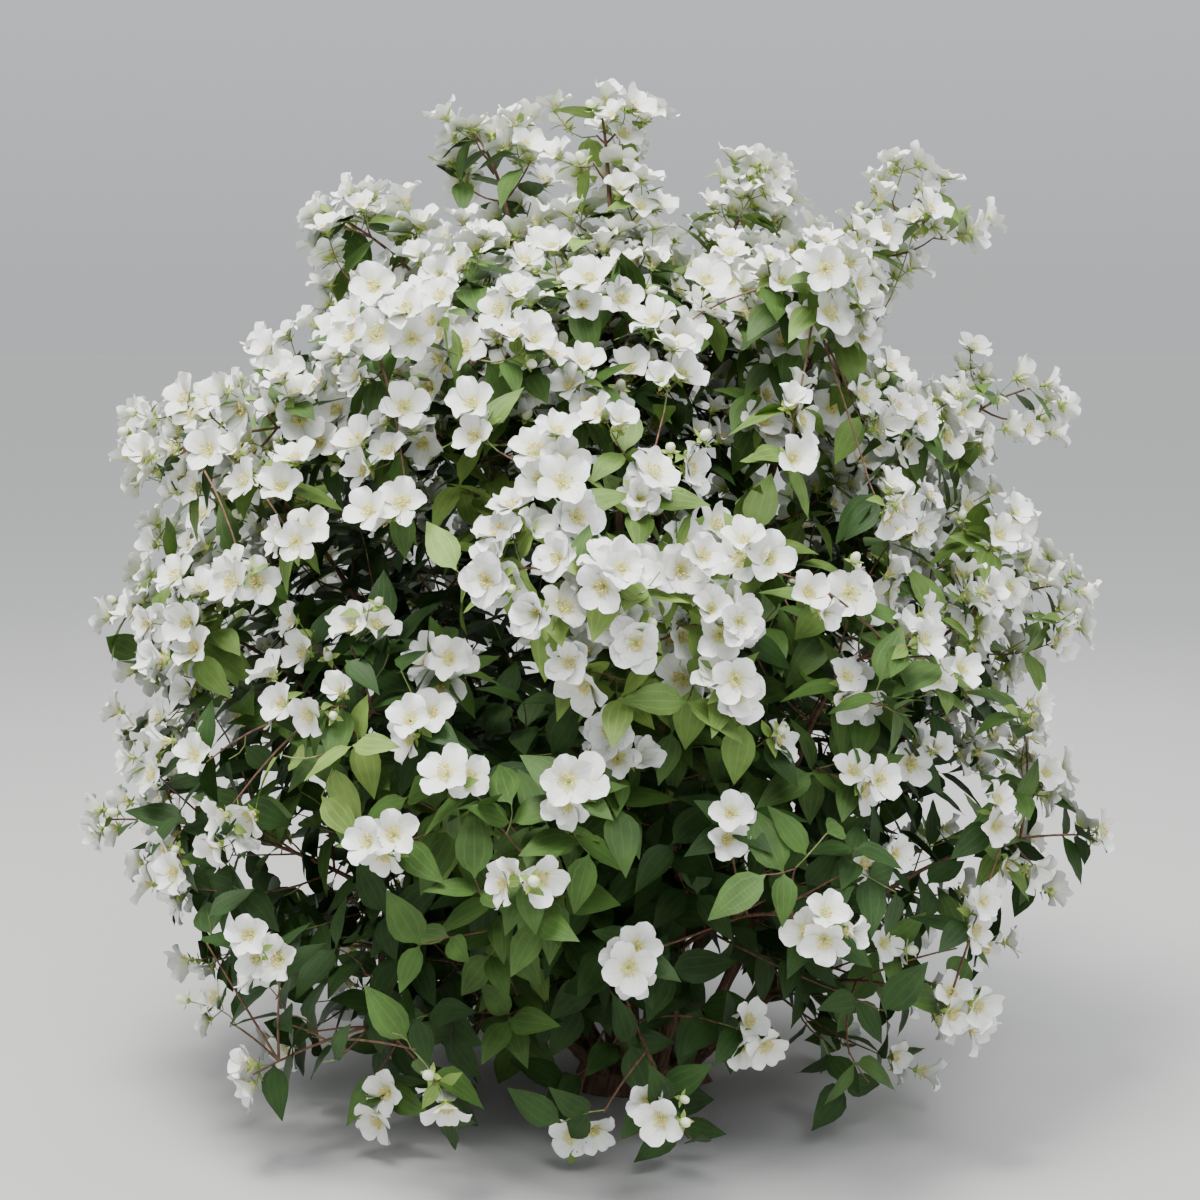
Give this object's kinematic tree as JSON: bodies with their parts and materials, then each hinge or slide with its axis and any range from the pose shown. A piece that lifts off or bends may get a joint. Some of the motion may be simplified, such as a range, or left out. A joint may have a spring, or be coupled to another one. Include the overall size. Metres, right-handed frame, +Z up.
{
  "type": "plant",
  "caption": "Mock orange shrub in full bloom, many arching canes from a low root crown, white four-petalled blossom clusters and mid-green leaves down to the ground.",
  "frame": {"origin": "on the flat cut under the root crown, at ground level, below the crown's middle", "axes": "+X to the right of the pictured side, +Y away from it into the depth of the shrub, +Z up; metres"},
  "size_m": [1.1512, 1.0943, 1.1326],
  "materials": {
    "bark": "rough",
    "flowering_shoots": "matte",
    "leafy_shoots": "matte"
  },
  "bodies": {
    "root": {"cane_back": "bark", "cane_back_left": "bark", "cane_back_right": "bark", "cane_front": "bark", "cane_front_left": "bark", "cane_front_right": "bark", "cane_left_arm": "bark", "cane_left_low": "bark", "cane_left_mid": "bark", "cane_left_shoulder": "bark", "cane_right_arm": "bark", "cane_right_low": "bark", "cane_right_mid": "bark", "cane_right_spire": "bark", "cane_top": "bark", "cane_top_left": "bark", "cane_top_right": "bark", "mass_back": "flowering_shoots", "mass_back_left": "flowering_shoots", "mass_back_right": "flowering_shoots", "mass_front": "flowering_shoots", "mass_front_left": "flowering_shoots", "mass_front_right": "flowering_shoots", "mass_left_arm": "flowering_shoots", "mass_left_low": "flowering_shoots", "mass_left_mid": "flowering_shoots", "mass_left_shoulder": "flowering_shoots", "mass_right_arm": "flowering_shoots", "mass_right_low": "flowering_shoots", "mass_right_mid": "flowering_shoots", "mass_right_spire": "flowering_shoots", "mass_side_01": "leafy_shoots", "mass_side_02": "leafy_shoots", "mass_side_03": "leafy_shoots", "mass_side_04": "leafy_shoots", "mass_side_05": "leafy_shoots", "mass_side_06": "leafy_shoots", "mass_side_07": "leafy_shoots", "mass_side_08": "flowering_shoots", "mass_side_09": "flowering_shoots", "mass_side_10": "flowering_shoots", "mass_side_11": "flowering_shoots", "mass_side_12": "flowering_shoots", "mass_side_13": "flowering_shoots", "mass_side_14": "flowering_shoots", "mass_side_15": "flowering_shoots", "mass_side_16": "flowering_shoots", "mass_side_17": "flowering_shoots", "mass_side_18": "flowering_shoots", "mass_side_19": "flowering_shoots", "mass_top": "flowering_shoots", "mass_top_left": "flowering_shoots", "mass_top_right": "flowering_shoots", "root_crown": "bark"}
  },
  "joints": []
}
